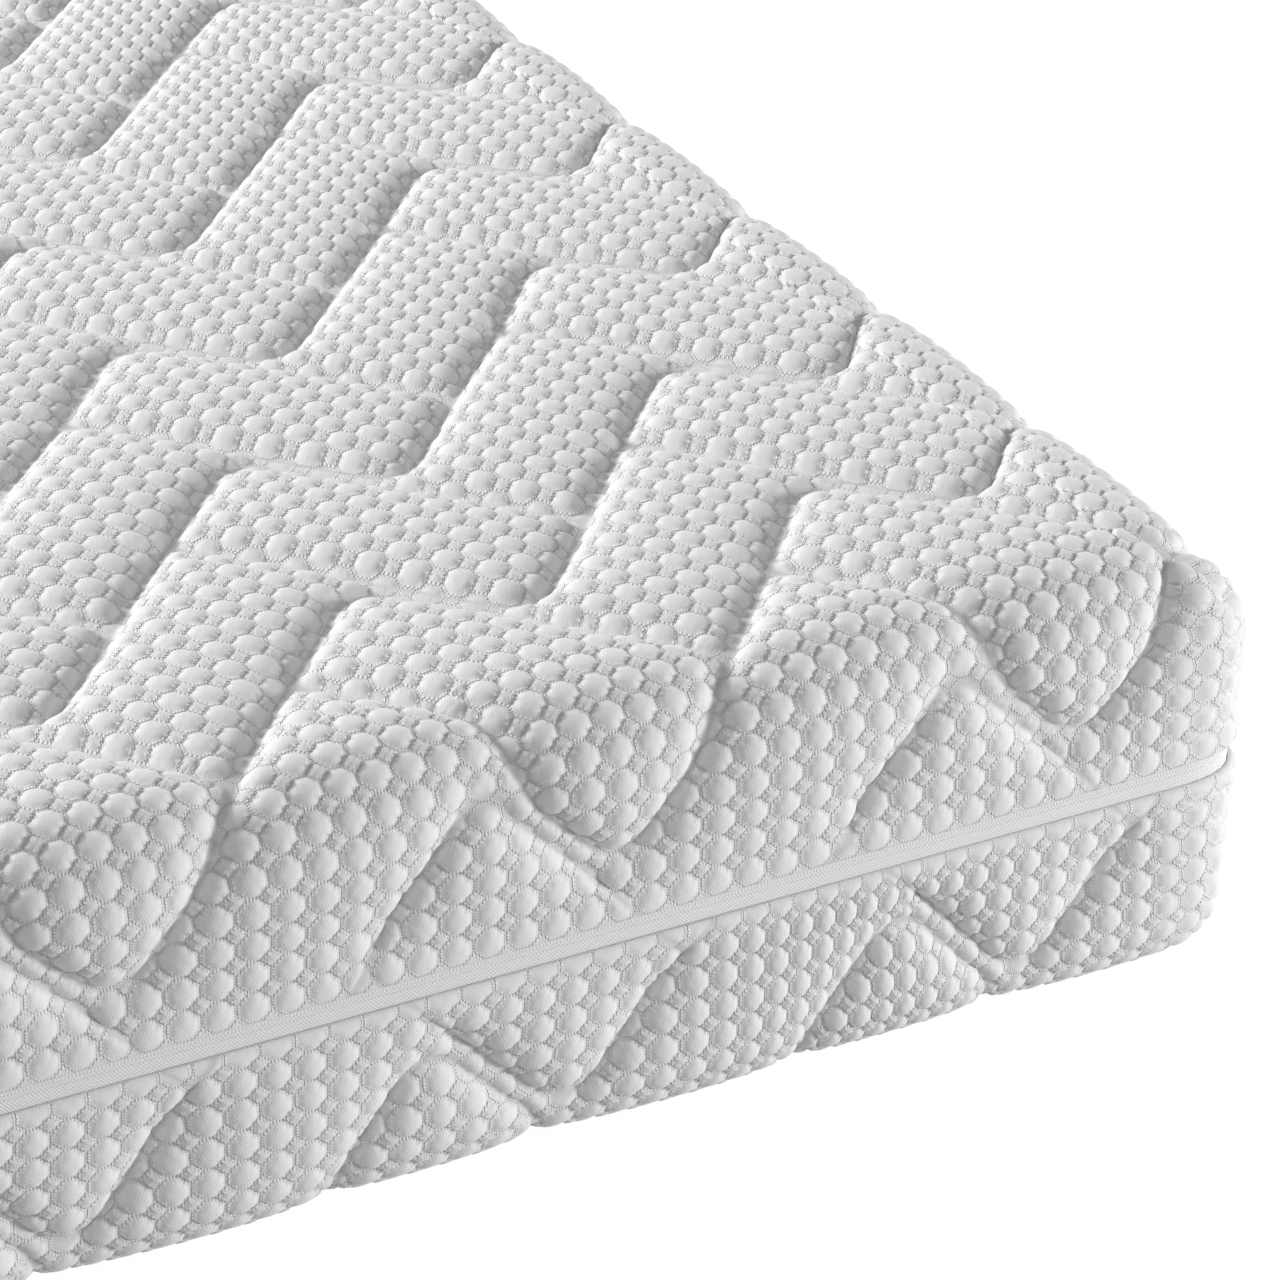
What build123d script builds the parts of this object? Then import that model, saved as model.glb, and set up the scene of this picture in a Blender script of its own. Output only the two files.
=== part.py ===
from build123d import *
import math
import os

# Overall size of a single mattress lying flat: long side along X, sleeping side up.
# The origin is the middle of the underside.
length = 2000.0
width = 900.0
height = 200.0
corner_radius = 55.0
edge_radius = 38.0
edge_flats = 3
widest_above_zip = 50.0

# Quilted cover, the same for both halves. The zip pulls the walls in at the waist.
quilt_thickness = 15.0
draw_in = 3.0
hem_thickness = 3.0
channel_depth = 10.0
channel_half_width = 22.0
channel_headroom = 2.0
short_leg_rise = 3.0

# Zigzag quilting: long diagonals joined by short ones, which end on the next zigzag's long diagonal.
# The sewn panel is stretched over the edges, so the pattern slips down the walls.
zigzag_pitch = 207.0
row_pitch = 128.5
long_leg_along = 147.0
long_leg_across = 180.0
short_leg_share = 0.657
short_leg_along = zigzag_pitch - short_leg_share * long_leg_along
short_leg_across = short_leg_share * long_leg_across
stitch_stop = 1.0
fold_slip = 35.0
upper_phase = (31.8, -294.4)
lower_phase = (-3.0, -299.5)

# Lining, sleeve and foam inside the cover.
cloth_gap = 0.3
lining_thickness = 1.0
sleeve_thickness = 1.0
memory_foam_thickness = 50.0
transition_foam_thickness = 30.0

# Zip round the waist: woven tapes with the coils sewn on behind them.
tape_thickness = 0.8
tape_under_hem = 9.0
coil_depth = 2.6
coil_height = 2.1
run_clearance = 0.3

# Slider, parked on the rear side near the left corner, where the upper coil leaves a gap for it.
slider_length = 14.0
slider_nose_height = 9.2
slider_tail_height = 7.6
slider_corner = 1.2
hem_clearance = 0.4
plate_thickness = 1.4
post_length = 4.0
post_thickness = 1.2
park_from_corner = 65.0
parking_length = 46.0
stop_length = 3.5
stop_wall = 0.5

# Pull tab, a yoke with its pin through an eye on the slider.
eye_thickness = 2.2
eye_wall = 1.0
pin_radius = 0.75
pin_clearance = 0.05
pull_length = 27.0
pull_thickness = 1.2
pull_arm = 1.6
pull_slot = 3.4
pull_tip_radius = 2.6
pull_hole_radius = 1.5

# Heights at the waist.
zip_height = height / 2
hem_gap = slider_nose_height + 2 * hem_clearance
chain_gap = post_thickness + 2 * run_clearance
hem_low = zip_height + hem_gap / 2
coil_low = zip_height + chain_gap / 2
tape_top = hem_low + tape_under_hem
pocket_top = tape_top + cloth_gap
widest_height = zip_height + widest_above_zip

# Depths inwards from the widest outline.
hem_inside = draw_in + hem_thickness
tape_outside = hem_inside + cloth_gap
tape_inside = tape_outside + tape_thickness
coil_inside = tape_inside + coil_depth
zip_depth = coil_inside + run_clearance + plate_thickness + cloth_gap
wall_thickness = max(quilt_thickness, zip_depth)
lining_outside = wall_thickness + cloth_gap
sleeve_outside = lining_outside + lining_thickness + cloth_gap
foam_outside = sleeve_outside + sleeve_thickness + cloth_gap

# Heights inside the cover, measured from either deck.
lining_level = quilt_thickness + cloth_gap
sleeve_level = lining_level + lining_thickness + cloth_gap
foam_level = sleeve_level + sleeve_thickness + cloth_gap
memory_top = height - foam_level
transition_top = memory_top - memory_foam_thickness
support_top = transition_top - transition_foam_thickness

# Slider and pull, measured outwards from the outer face of the tapes.
park_x = -(length / 2 - corner_radius - park_from_corner)
front_low = run_clearance
front_high = front_low + plate_thickness
back_high = -(tape_thickness + coil_depth + run_clearance)
back_low = back_high - plate_thickness
eye_radius = pin_radius + pin_clearance
knuckle_radius = eye_radius + eye_wall
pivot_out = front_high + run_clearance + knuckle_radius
yoke_gap = eye_thickness + 2 * run_clearance
yoke_height = yoke_gap + 2 * pull_arm


def outline(inset):
    """Plan outline of the mattress, moved inwards by the inset."""
    return RectangleRounded(length - 2 * inset, width - 2 * inset, corner_radius - inset)


def block(inset, low, high):
    """Solid slice of the mattress between two heights."""
    return extrude(Pos(0, 0, low) * outline(inset), amount=high - low)


def ring(outside, inside, low, high):
    """Band that goes all round the mattress."""
    return block(outside, low, high) - block(inside, low, high)


def waist_inset(level):
    """How far the drawn-in wall lies inside the widest outline at a height above the zip."""
    return draw_in * (widest_height - level) / (widest_height - hem_low)


def drawn_in_slice(low, high):
    """Solid slice of the waist between two heights, with its leaning walls."""
    sections = [Pos(0, 0, level) * outline(waist_inset(level)) for level in (low, high)]
    return loft(sections, ruled=True)


def channel():
    """Sewn channel of one zigzag, which runs along a short, a long and a short diagonal.

    It lies in the XY plane with its upper turn at the origin and opens towards +Z.
    The short legs rise away from the turns, because they are sewn less tightly.
    """
    short_along = short_leg_along - stitch_stop
    short_across = short_leg_across - stitch_stop
    path = Polyline(
        (-long_leg_along - short_along, short_across - long_leg_across, short_leg_rise),
        (-long_leg_along, -long_leg_across, 0),
        (0, 0, 0),
        (short_along, -short_across, short_leg_rise),
    )
    section = Polyline(
        (0, -channel_depth),
        (channel_half_width, 0),
        (channel_half_width, channel_headroom),
        (-channel_half_width, channel_headroom),
        (-channel_half_width, 0),
        close=True,
    )
    along = path % 0
    section_plane = Plane(origin=path @ 0, x_dir=(-along.Y, along.X, 0), z_dir=along)
    return sweep(section_plane * make_face(section), path=path, transition=Transition.RIGHT)


def quilted_walls():
    """The four walls of the upper half, as the flat panel is folded down over the edges.

    Each has the plane that the panel lies on there, and the panel's window along U and V.
    """
    half_u = length / 2
    half_v = width / 2
    fold = edge_radius * math.pi / 2 - edge_radius - fold_slip
    panel_u = half_u + fold
    panel_v = half_v + fold
    top = height - edge_radius
    drop = top - pocket_top
    across_u = (-half_u, half_u)
    across_v = (-half_v, half_v)
    front = Plane((0, -half_v, top + panel_v), x_dir=(1, 0, 0), z_dir=(0, -1, 0))
    rear = Plane((0, half_v, top + panel_v), x_dir=(1, 0, 0), z_dir=(0, 1, 0))
    left = Plane((-half_u, 0, top + panel_u), x_dir=(0, 0, 1), z_dir=(-1, 0, 0))
    right = Plane((half_u, 0, top + panel_u), x_dir=(0, 0, -1), z_dir=(1, 0, 0))
    return [
        (front, across_u, (-panel_v - drop, -panel_v + edge_radius)),
        (rear, across_u, (panel_v - edge_radius, panel_v + drop)),
        (left, (-panel_u - drop, -panel_u + edge_radius), across_v),
        (right, (panel_u - edge_radius, panel_u + drop), across_v),
    ]


def channel_places(window_u, window_v, phase, parity):
    """Panel positions of every second zigzag whose channel reaches into the window."""
    before_u = channel_half_width + long_leg_along + short_leg_along
    after_u = channel_half_width + short_leg_along
    before_v = channel_half_width + long_leg_across
    after_v = channel_half_width
    first_k = math.ceil((window_u[0] - after_u - phase[0]) / zigzag_pitch)
    last_k = math.floor((window_u[1] + before_u - phase[0]) / zigzag_pitch)
    first_m = math.ceil((window_v[0] - after_v - phase[1]) / row_pitch)
    last_m = math.floor((window_v[1] + before_v - phase[1]) / row_pitch)
    return [
        Pos(phase[0] + k * zigzag_pitch, phase[1] + m * row_pitch)
        for k in range(first_k, last_k + 1)
        if k % 2 == parity
        for m in range(first_m, last_m + 1)
    ]


def rounded_edge():
    """Top slice of the mattress, with its edge turned over in a few flats."""
    turns = [math.pi / 2 * step / edge_flats for step in range(edge_flats + 1)]
    centre = height - edge_radius
    sections = [
        Pos(0, 0, centre + edge_radius * math.sin(turn)) * outline(edge_radius * (1 - math.cos(turn)))
        for turn in turns
    ]
    return loft(sections, ruled=True)


def cover_half(phase):
    """Upper half of the cover: rounded deck, drawn-in walls, sewn channels and a flat hem."""
    shell = drawn_in_slice(pocket_top, widest_height)
    shell = shell + block(0, widest_height, height - edge_radius) + rounded_edge()
    shell = shell - block(wall_thickness, pocket_top, height - quilt_thickness)
    deck = (Plane((0, 0, height)), (-length / 2, length / 2), (-width / 2, width / 2))
    cutter = channel()
    for faces in ([deck], quilted_walls()):
        for parity in (0, 1):
            cutters = [
                plane.location * place * cutter
                for plane, window_u, window_v in faces
                for place in channel_places(window_u, window_v, phase, parity)
            ]
            shell = shell.cut(*cutters)
    hem = drawn_in_slice(hem_low, pocket_top) - block(hem_inside, hem_low, pocket_top)
    return shell + hem


def turned_over(shape):
    """The same shape on the underside, turned half round about the long axis of the waist."""
    return Pos(0, 0, zip_height) * Rot(180, 0, 0) * Pos(0, 0, -zip_height) * shape


def lining():
    """Thin lining behind the wadding of the upper half, open at the waist."""
    top = height - lining_level
    inside = lining_outside + lining_thickness
    return block(lining_outside, pocket_top, top) - block(inside, pocket_top, top - lining_thickness)


def core_sleeve():
    """Closed knitted sleeve round the foam."""
    inside = sleeve_outside + sleeve_thickness
    level = sleeve_level + sleeve_thickness
    return block(sleeve_outside, sleeve_level, height - sleeve_level) - block(inside, level, height - level)


def coil():
    """Coil of the upper tape, all the way round."""
    return ring(tape_inside, coil_inside, coil_low, coil_low + coil_height)


def parked_coil():
    """Coil of the upper tape with the gap in which the slider is parked."""
    gap = Pos(park_x, width / 2 - coil_inside, zip_height) * Box(parking_length, 2 * coil_inside, hem_gap)
    return coil() - gap


def coil_stop(middle_x):
    """Stop crimped round the upper coil at the rear: a clip with the coil let into it."""
    clip = Box(
        stop_length,
        coil_depth + stop_wall,
        coil_height + stop_wall,
        align=(Align.CENTER, Align.MAX, Align.MIN),
    )
    return Pos(middle_x, width / 2 - tape_inside, coil_low) * clip - coil()


def slider_plate(low, high):
    """Slider plate between two distances outwards, wide at its nose, which points to -X."""
    half = slider_length / 2
    nose = slider_nose_height / 2
    tail = slider_tail_height / 2
    corners = Polyline((-half, -tail), (half, -nose), (half, nose), (-half, tail), close=True)
    face = fillet(make_face(corners).vertices(), slider_corner)
    upright = Plane((0, low, 0), x_dir=(-1, 0, 0), z_dir=(0, 1, 0))
    return extrude(upright * face, amount=high - low)


def zip_slider():
    """Slider: two plates joined by a post at the nose, flanges behind the coils and an eye."""
    bay = chain_gap + 2 * (coil_height + run_clearance)
    flanges = slider_plate(back_high, -tape_thickness - run_clearance)
    flanges = flanges - Box(2 * slider_length, 2 * abs(back_high), bay)
    post = Box(post_length, front_high - back_low, post_thickness, align=(Align.MIN, Align.MIN, Align.CENTER))
    post = Pos(slider_corner - slider_length / 2, back_low, 0) * post
    neck = Rectangle(2 * knuckle_radius, pivot_out - front_low, align=(Align.CENTER, Align.MAX))
    eye_face = Circle(knuckle_radius) + neck - Circle(eye_radius)
    eye = extrude(Pos(0, pivot_out, -eye_thickness / 2) * eye_face, amount=eye_thickness)
    body = slider_plate(front_low, front_high) + slider_plate(back_low, back_high)
    return body + flanges + post + eye


def zip_pull():
    """Pull tab lying along the zip towards +X, with its pin at the origin."""
    tip = Pos(pull_length - pull_tip_radius, 0) * Circle(pull_tip_radius)
    root = Rectangle(knuckle_radius, yoke_height, align=(Align.MIN, Align.CENTER))
    slot = Rectangle(knuckle_radius + pull_slot, yoke_gap, align=(Align.MIN, Align.CENTER))
    hole = Pos(pull_length - pull_tip_radius, 0) * Circle(pull_hole_radius)
    face = make_hull(tip.edges() + root.edges()) - slot - hole
    tab = extrude(Plane.XZ * face, amount=pull_thickness / 2, both=True)
    knuckles = Cylinder(knuckle_radius, yoke_height)
    knuckles = knuckles - Box(2 * knuckle_radius, 2 * knuckle_radius, yoke_gap)
    return tab + knuckles + Cylinder(pin_radius, yoke_height)


slider_place = Pos(park_x, width / 2 - tape_outside, zip_height)
chain_end = park_x - (parking_length + stop_length) / 2
slider_end = park_x - (slider_length + stop_length) / 2 - run_clearance
tape = ring(tape_outside, tape_inside, coil_low, tape_top)

nodes = {
    "upper_cover": cover_half(upper_phase),
    "lower_cover": turned_over(cover_half(lower_phase)),
    "upper_lining": lining(),
    "lower_lining": turned_over(lining()),
    "upper_zip_tape": tape,
    "lower_zip_tape": turned_over(tape),
    "upper_zip_coil": parked_coil(),
    "lower_zip_coil": turned_over(coil()),
    "upper_zip_stop": coil_stop(chain_end),
    "lower_zip_stop": mirror(coil_stop(slider_end), about=Plane((0, 0, zip_height))),
    "zip_slider": slider_place * zip_slider(),
    "zip_pull": slider_place * Pos(0, pivot_out, 0) * zip_pull(),
    "core_sleeve": core_sleeve(),
    "memory_foam_layer": block(foam_outside, transition_top, memory_top),
    "transition_foam_layer": block(foam_outside, support_top, transition_top),
    "support_core": block(foam_outside, foam_level, support_top),
}

os.makedirs("parts", exist_ok=True)
for name, solid in nodes.items():
    export_step(solid, f"parts/{name}.step")
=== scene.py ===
import math

import bpy
import numpy as np
from bpy.props import FloatProperty, FloatVectorProperty, PointerProperty
from mathutils import Matrix, Vector


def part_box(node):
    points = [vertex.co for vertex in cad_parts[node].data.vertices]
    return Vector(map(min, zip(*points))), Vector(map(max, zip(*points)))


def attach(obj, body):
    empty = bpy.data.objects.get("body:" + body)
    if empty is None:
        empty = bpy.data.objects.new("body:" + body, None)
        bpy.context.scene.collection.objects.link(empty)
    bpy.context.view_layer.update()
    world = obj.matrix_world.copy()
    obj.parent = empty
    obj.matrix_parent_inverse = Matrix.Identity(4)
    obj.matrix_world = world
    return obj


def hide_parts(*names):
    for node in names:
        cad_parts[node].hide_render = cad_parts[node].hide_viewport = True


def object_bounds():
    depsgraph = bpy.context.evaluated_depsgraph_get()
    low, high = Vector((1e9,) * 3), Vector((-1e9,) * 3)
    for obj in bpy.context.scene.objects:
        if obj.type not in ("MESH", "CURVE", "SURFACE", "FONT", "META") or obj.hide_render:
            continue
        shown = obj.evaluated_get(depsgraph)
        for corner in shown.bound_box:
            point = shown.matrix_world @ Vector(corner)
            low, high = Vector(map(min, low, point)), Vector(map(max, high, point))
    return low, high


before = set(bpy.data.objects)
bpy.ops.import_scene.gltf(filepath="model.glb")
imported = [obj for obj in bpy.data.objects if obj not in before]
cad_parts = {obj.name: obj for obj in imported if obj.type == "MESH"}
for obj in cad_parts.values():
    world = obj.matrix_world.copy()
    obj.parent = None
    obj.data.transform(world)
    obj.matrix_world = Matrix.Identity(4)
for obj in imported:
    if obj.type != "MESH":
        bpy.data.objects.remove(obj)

bl_info = {
    "name": "Quilted memory foam mattress",
    "version": (1, 1, 0),
    "blender": (4, 5, 0),
    "location": "View3D > Sidebar > Mattress",
    "description": "Dresses a mattress in its quilted knit cover, zip, sleeve and foam",
    "category": "Add Mesh",
}

CAD_LOW, CAD_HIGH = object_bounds()
SIZE = CAD_HIGH - CAD_LOW
ZIP_HEIGHT = (CAD_LOW.z + CAD_HIGH.z) / 2
HEM_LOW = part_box("upper_cover")[0].z
QUARTER_TURN = math.pi / 2
# Where the knit's slanting seams cut a bubble, as a share of its pitch. Lines of the grid cross there.
SEAM_CUT = 2 / 3
LINES_TO_BUBBLE = 6
LINE_GAP = 0.0004
# How closely a bubble's foot follows its eight sides, and how its dome and a diamond's rise from the foot.
FOOT_POWER = 8
BUBBLE_DOME = (3.2, 0.65)
DIAMOND_DOME = (3, 0.7)
# Roundness of the corners seen from above. A circle has 2, and a higher power is squarer.
CORNER_POWER = 3.6
SHARP_ANGLE = math.radians(40)


def length_prop(name, description, default):
    return FloatProperty(name=name, description=description, default=default, unit="LENGTH", precision=5)


def share_prop(name, description, default):
    return FloatProperty(name=name, description=description, default=default, subtype="FACTOR", min=0, max=1)


def angle_prop(name, description, degrees):
    return FloatProperty(name=name, description=description, default=math.radians(degrees), subtype="ANGLE")


def power_prop(name, description, default):
    return FloatProperty(name=name, description=description, default=default, unit="POWER", min=0)


def pair_prop(name, description, default):
    return FloatVectorProperty(name=name, description=description, default=default, size=2, unit="LENGTH")


def colour_prop(name, description, default):
    return FloatVectorProperty(
        name=name, description=description, default=default, subtype="COLOR", size=3, min=0, max=1
    )


class CoverSettings(bpy.types.PropertyGroup):
    """Sizes of the two quilted halves of the cover"""

    edge_radius: length_prop("Edge radius", "Rounding from the deck into the walls", 0.048)
    lower_edge: length_prop("Lower edge radius", "Rounding from the pressed underside into the walls", 0.034)
    corner_radius: length_prop("Corner radius", "Rounding of the corners seen from above", 0.055)
    draw_in: length_prop("Draw-in", "How far the zip pulls the walls in", 0.003)
    widest: length_prop("Widest", "Height above the zip where the walls start to draw in", 0.050)
    hem: length_prop("Hem", "Thickness of the flat hem beside the zip", 0.003)
    hem_roll: length_prop("Hem roll", "Rounding of the hem's lip", 0.0018)
    hem_fade: length_prop("Hem fade", "Stretch above the zip where the quilting is pressed flat", 0.026)
    pocket: length_prop("Pocket", "Height above the hem of the pocket for the zip tape", 0.0093)
    thickness: length_prop("Quilt thickness", "Knit, wadding and backing together", 0.015)
    deck_puff: length_prop("Deck puff", "Depth of the sewn creases on the deck", 0.0108)
    lower_puff: length_prop("Lower puff", "The same on the underside, pressed by the weight", 0.0045)
    laid: share_prop("Laid", "Share of the bubbles' height on the deck", 0.9)
    pressed: share_prop("Pressed", "Share of the bubbles' height left underneath", 0.55)
    end_puff: share_prop("End puff", "Share of the creases' depth left at the two ends", 0.6)
    wall_puff: length_prop("Wall puff", "Depth of the sewn creases on the walls", 0.0092)
    flank: length_prop("Flank", "How soon the knit rises beside the stitches", 0.0042)
    crown: length_prop("Crown", "How soon the wadding swells to a pillow's top", 0.020)
    crown_share: share_prop("Crown share", "How much of a pillow is its crown", 0.45)
    gather: length_prop("Gather", "How far the knit slides towards the stitches", 0.0014)
    zigzag: length_prop("Zigzag", "Repeat of the zigzag along the mattress", 0.207)
    row: length_prop("Row", "Repeat of the zigzag across the mattress", 0.1285)
    long_leg: pair_prop("Long leg", "Long diagonal of the zigzag, along and across", (0.147, 0.180))
    short_leg: pair_prop("Short leg", "Short diagonal of the zigzag, along and across", (0.1104, 0.1183))
    short_hold: share_prop("Short hold", "Height left over the short diagonals", 0.05)
    turn_radius: length_prop("Turn radius", "Rounding of the zigzag's turns", 0.016)
    fold_slip: length_prop("Fold slip", "How far the pattern slips down over the edge", 0.030)
    upper_phase: pair_prop("Upper phase", "An upper turn of the zigzag on the deck", (0.0318, -0.2944))
    lower_phase: pair_prop("Lower phase", "An upper turn of the zigzag on the underside", (-0.003, -0.2935))
    wall_shift: pair_prop("Wall shift", "Shift of the pattern along the upper and lower walls", (0.011, 0.0))
    bubble: length_prop("Bubble", "Pitch of the knit's bubbles along the mattress", 0.0138)
    deck_row: length_prop("Deck row", "Pitch of the bubbles across the deck", 0.0150)
    fold_row: length_prop("Fold row", "Pitch of the bubbles over the edge", 0.0151)
    wall_row: length_prop("Wall row", "Pitch of the bubbles down the walls", 0.0132)
    skew: share_prop("Skew", "Lean of the bubbles' rows, in pitches to a row", 0.05)
    bubble_height: length_prop("Bubble height", "How far a bubble stands proud of its seams", 0.0025)
    diamond_height: length_prop("Diamond height", "The same for the small diamonds between", 0.0023)
    colour: colour_prop("Colour", "Knit", (0.845, 0.828, 0.834))


class ZipSettings(bpy.types.PropertyGroup):
    """Sizes of the zip"""

    tape_out: length_prop("Tape out", "Depth of the tapes' outer face inside the widest outline", 0.0063)
    tape: length_prop("Tape", "Thickness of the tapes", 0.0008)
    tape_top: length_prop("Tape top", "Height above the zip of the tapes' hidden edge", 0.014)
    chain_gap: length_prop("Chain gap", "Half the gap between the tapes at the rear", 0.0009)
    closing: length_prop("Closing", "How much nearer the tapes meet where no slider runs", 0.00088)
    bead: length_prop("Bead", "Width of the smooth bead along the upper tape", 0.0019)
    coil_depth: length_prop("Coil depth", "Depth of the coils behind the tapes", 0.0026)
    coil_height: length_prop("Coil height", "Height of the coils", 0.0021)
    park: length_prop("Parking", "Place along the rear where the slider is parked", -0.88)
    parking: length_prop("Parking length", "Gap in the upper coil for the slider", 0.046)
    tape_colour: colour_prop("Tape colour", "Woven tape", (0.86, 0.845, 0.852))
    coil_colour: colour_prop("Coil colour", "Nylon coil", (0.78, 0.78, 0.79))
    enamel_colour: colour_prop("Enamel colour", "Slider and pull", (0.80, 0.80, 0.80))
    metal_colour: colour_prop("Metal colour", "Crimped stops", (0.62, 0.63, 0.64))


class CoreSettings(bpy.types.PropertyGroup):
    """Sizes of what the cover holds"""

    gap: length_prop("Gap", "Play between one layer and the next", 0.0003)
    cloth: length_prop("Cloth", "Thickness of lining and sleeve", 0.001)
    memory: length_prop("Memory foam", "Thickness of the slow foam", 0.050)
    transition: length_prop("Transition foam", "Thickness of the softer foam between", 0.030)
    cut: length_prop("Cut", "Softening of the foam's cut edges", 0.0025)
    lining_colour: colour_prop("Lining colour", "Thin lining", (0.74, 0.74, 0.74))
    sleeve_colour: colour_prop("Sleeve colour", "Fine stretch knit", (0.72, 0.72, 0.70))
    memory_colour: colour_prop("Memory foam colour", "Slow foam", (0.84, 0.76, 0.60))
    transition_colour: colour_prop("Transition foam colour", "Softer foam", (0.66, 0.74, 0.80))
    support_colour: colour_prop("Support foam colour", "Cold foam", (0.83, 0.83, 0.76))


class StageSettings(bpy.types.PropertyGroup):
    """Camera, floor and light"""

    camera_place: FloatVectorProperty(
        name="Camera place", description="Where the camera stands", default=(0.0785, -1.6904, 1.0015),
        size=3, unit="LENGTH",
    )
    heading: angle_prop("Heading", "Camera's turn from +Y towards +X", 26.802)
    tilt: angle_prop("Tilt", "Camera's angle below the horizon", 29.024)
    roll: angle_prop("Roll", "Camera's turn about its own axis", -0.17)
    lens: FloatProperty(
        name="Lens", description="Focal length on a 36 mm sensor", default=120.3, subtype="DISTANCE_CAMERA"
    )
    floor_colour: colour_prop("Floor colour", "Paper sweep", (0.16, 0.16, 0.16))
    floor_glow: share_prop("Floor glow", "Light that the floor gives off", 0.93)
    sky: share_prop("Sky", "Strength of the even light all round", 0.375)
    key_power: power_prop("Key power", "Large high light beyond the far left corner", 640)
    fill_power: power_prop("Fill power", "Small low light before the right end", 108)


def smooth(share):
    """Eases a share from 0 to 1."""
    share = np.clip(share, 0, 1)
    return share * share * (3 - 2 * share)


def line_phases():
    """Where grid lines cross a bubble, as shares of its pitch."""
    return np.arange(LINES_TO_BUBBLE) / LINES_TO_BUBBLE


def half_lines(half, pitch, corner, steps):
    """Grid lines from the middle of the deck to its side, set by the bubbles and then by the corner."""
    bubbles = np.arange(math.ceil(half / pitch) + 1)
    found = ((bubbles[:, None] + line_phases()[None, :]) * pitch).ravel()
    found = found[found < half - corner - LINE_GAP]
    return np.concatenate([found, half - corner + corner * np.arange(steps + 1) / steps])


def both_ways(lines):
    """Lines from the middle to one side, and their mirror image before them."""
    return np.concatenate([-lines[:0:-1], lines])


def squarer(angle):
    """How much further out than a circle a corner lies, at an angle from the side."""
    shares = np.abs(np.cos(angle)) ** CORNER_POWER + np.abs(np.sin(angle)) ** CORNER_POWER
    return shares ** (-1 / CORNER_POWER)


def plan_corner(x, y, half_x, half_y, radius):
    """Moves points in the square corners of a rectangle onto its rounded corners."""
    over_x = np.maximum(np.abs(x) - (half_x - radius), 0)
    over_y = np.maximum(np.abs(y) - (half_y - radius), 0)
    most = np.maximum(over_x, over_y)
    least = np.minimum(over_x, over_y)
    inside = (over_x > 0) & (over_y > 0)
    angle = np.where(inside, least / np.where(most > 0, most, 1) * math.pi / 4, 0)
    long_part = most * squarer(angle) * np.cos(angle)
    short_part = most * squarer(angle) * np.sin(angle)
    new_x = np.where(over_x >= over_y, long_part, short_part)
    new_y = np.where(over_x >= over_y, short_part, long_part)
    out_x = np.where(inside, np.sign(x) * (half_x - radius + new_x), x)
    out_y = np.where(inside, np.sign(y) * (half_y - radius + new_y), y)
    return out_x, out_y


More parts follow.
